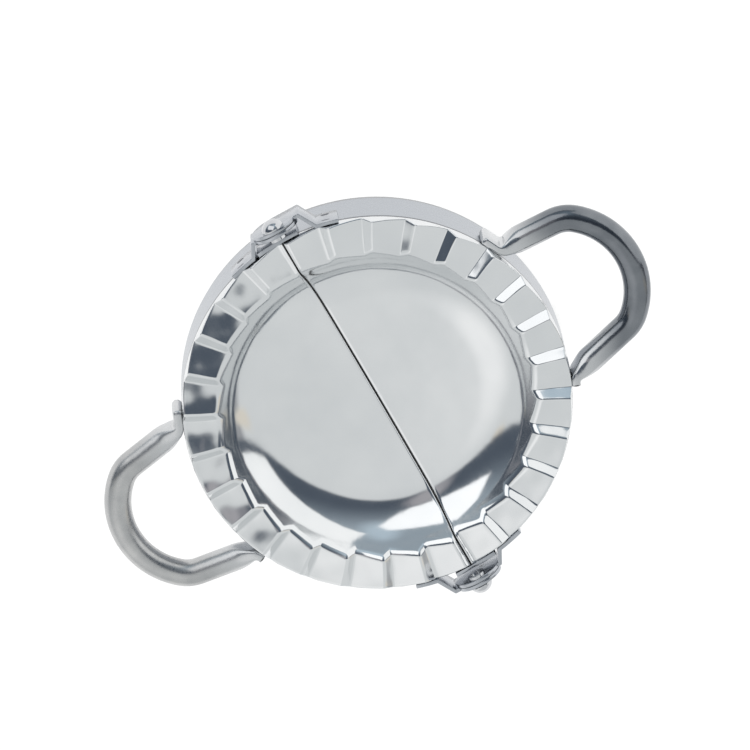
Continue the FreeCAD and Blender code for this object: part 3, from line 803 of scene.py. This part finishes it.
# Each oval: place across and along, its two half sizes, its turn, and the soft edge as a share of its size.
SOFT_LIGHT_OVAL = (-36.0, -30.0, 28.0, 19.0, 35.0, 0.7)
WARM_OVALS = [(68.0, -24.0, 15.0, 5.0, -22.0, 0.5), (-50.0, 3.0, 8.0, 3.0, 5.0, 0.5)]
HAZE_OVAL = (8.0, 62.0, 11.0, 16.0, 0.0, 0.6)
STAND_OVAL = (-12.0, 17.0, 7.0, 11.0, 0.0, 0.5)
PANEL_HOLLOW = (-52.0, -8.2, 101.0, 101.0, 0.0, 0.012)

# Where the far side darkens across the view, and where the room turns pale along it.
FAR_SIDE_SPAN = (66.0, 78.0)
ROOM_SPAN = (14.0, 62.0)

# Keeps the point straight overhead from dividing by nothing.
LEAST_SINE = 0.001

# Table: half its side and the reach of its shade in metres, the share of open sky from dark to full light.
TABLE_HALF = 2.0
SHADE_REACH = 0.060
SHADE_SPAN = (0.05, 0.35)
TABLE_MATT = (0.12, 0.12, 0.12, 1.0)


def dot_of(across, along, turn):
    return across * math.cos(math.radians(turn)) + along * math.sin(math.radians(turn))


class Sky(Nodes):
    """Places and shapes on the dome overhead."""

    def __init__(self, tree):
        super().__init__(tree)
        where = self.node("ShaderNodeTexCoord").outputs["Generated"]
        tilt = self.math("ARCCOSINE", self.dot(where, (0.0, 0.0, 1.0)))
        level = self.math("MAXIMUM", self.math("SINE", tilt), LEAST_SINE)
        spread = self.math("DIVIDE", self.math("MULTIPLY", tilt, math.degrees(1.0)), level)
        azimuth = math.radians(CAMERA_AZIMUTH)
        side = (math.sin(azimuth), -math.cos(azimuth), 0.0)
        ahead = (math.cos(azimuth), math.sin(azimuth), 0.0)
        self.across = self.math("MULTIPLY", self.dot(where, side), spread)
        self.along = self.math("MULTIPLY", self.dot(where, ahead), spread)

    def distance(self, facing):
        """Distance along a direction given in degrees."""
        turn = math.radians(facing)
        return self.math("ADD", self.math("MULTIPLY", self.across, math.cos(turn)),
                         self.math("MULTIPLY", self.along, math.sin(turn)))

    def within(self, edges, soft):
        """Mask of the area inside all the given edges."""
        mask = 1.0
        for facing, reach in edges:
            mask = self.math("MULTIPLY", mask, self.step(self.distance(facing), reach + soft, reach - soft))
        return mask

    def beyond_any(self, edges, soft):
        """Mask of the area outside one of two edges."""
        masks = [self.step(self.distance(facing), reach - soft, reach + soft) for facing, reach in edges]
        return self.math("MAXIMUM", masks[0], masks[1])

    def oval(self, across, along, width, depth, turn, soft):
        """Mask of an oval patch with a soft edge, given as a share of its size."""
        first = self.math("SUBTRACT", self.distance(turn), dot_of(across, along, turn))
        first = self.math("DIVIDE", first, width)
        last = self.math("SUBTRACT", self.distance(turn + 90.0), dot_of(across, along, turn + 90.0))
        last = self.math("DIVIDE", last, depth)
        square = self.math("ADD", self.math("MULTIPLY", first, first), self.math("MULTIPLY", last, last))
        return self.step(self.math("SQRT", square), 1.0 + soft, 1.0 - soft)


def add_world():
    """Pale room before the press, dark room behind the camera with a bright window and a white panel."""
    world = bpy.data.worlds.new("studio")
    bpy.context.scene.world = world
    world.use_nodes = True
    sky = Sky(world.node_tree)
    tone = sky.blend(sky.oval(*SOFT_LIGHT_OVAL), WALL, SOFT_LIGHT)
    tone = sky.blend(sky.step(sky.across, *FAR_SIDE_SPAN), tone, FAR_SIDE)
    for patch in WARM_OVALS:
        tone = sky.blend(sky.oval(*patch), tone, WARM)
    room = sky.blend(sky.step(sky.along, *ROOM_SPAN), ROOM_DARK, ROOM_PALE)
    room = sky.blend(sky.oval(*HAZE_OVAL), room, HAZE)
    room = sky.blend(sky.oval(*STAND_OVAL), room, STAND)
    tone = sky.blend(sky.beyond_any(ROOM_EDGES, ROOM_SOFT), tone, room)
    tone = sky.blend(sky.within(WINDOW_EDGES, WINDOW_SOFT), tone, WINDOW)
    beyond = sky.math("SUBTRACT", 1.0, sky.oval(*PANEL_HOLLOW))
    tone = sky.blend(sky.math("MULTIPLY", sky.within(PANEL_EDGES, PANEL_SOFT), beyond), tone, PANEL)
    path = sky.node("ShaderNodeLightPath")
    tone = sky.blend(path.outputs["Is Camera Ray"], tone, WHITE)
    sky.link(tone, sky.tree.nodes["Background"].inputs["Color"])


def add_floor():
    """White table: its own light fades where the press stands over it."""
    side = TABLE_HALF
    floor = mesh_object("floor", [(-side, -side, 0), (side, -side, 0), (side, side, 0), (-side, side, 0)],
                        [(0, 1, 2, 3)])
    material = bpy.data.materials.new("table")
    material.use_nodes = True
    table = Nodes(material.node_tree)
    table.tree.nodes.remove(table.tree.nodes["Principled BSDF"])
    shade = table.node("ShaderNodeAmbientOcclusion", samples=16)
    shade.inputs["Distance"].default_value = SHADE_REACH
    glow = table.node("ShaderNodeEmission")
    table.link(table.step(shade.outputs["AO"], *SHADE_SPAN), glow.inputs["Strength"])
    matt = table.node("ShaderNodeBsdfDiffuse")
    matt.inputs["Color"].default_value = TABLE_MATT
    both = table.node("ShaderNodeAddShader")
    table.link(glow.outputs["Emission"], both.inputs[0])
    table.link(matt.outputs["BSDF"], both.inputs[1])
    table.link(both.outputs["Shader"], table.tree.nodes["Material Output"].inputs["Surface"])
    dress(floor, material)


bpy.context.scene.view_settings.view_transform = "Standard"
add_camera()
add_world()
add_floor()

POLISHED = polished_steel()
BAND = band_steel()
SATIN = {side: satin_steel(side) for side in HALVES}
STRAP = strap_steel()
RIVET = rivet_steel()
WELD = weld_steel()

for side in HALVES:
    dress(pressed_mould(side), POLISHED)
    dress(frame["nodes"][side + "_cutter_band"], BAND)
    dress(formed_handle(side), SATIN[side])
    for piece in ("outer_strap", "inner_strap", "lap_plate"):
        dress(softened("%s_%s_soft" % (side, piece), STAMPED_ROUND, "%s_%s" % (side, piece)), STRAP)
for end in ("front", "rear"):
    dress(frame["nodes"][end + "_rivet"], RIVET)

for node, facing, lean in (("right_outer_strap", 90.0, -WELD_LEAN), ("left_inner_strap", 90.0, WELD_LEAN),
                           ("left_outer_strap", 270.0, -WELD_LEAN), ("right_inner_strap", 270.0, WELD_LEAN)):
    dress(spot_welds(node.replace("strap", "welds"), node, facing + lean), WELD)
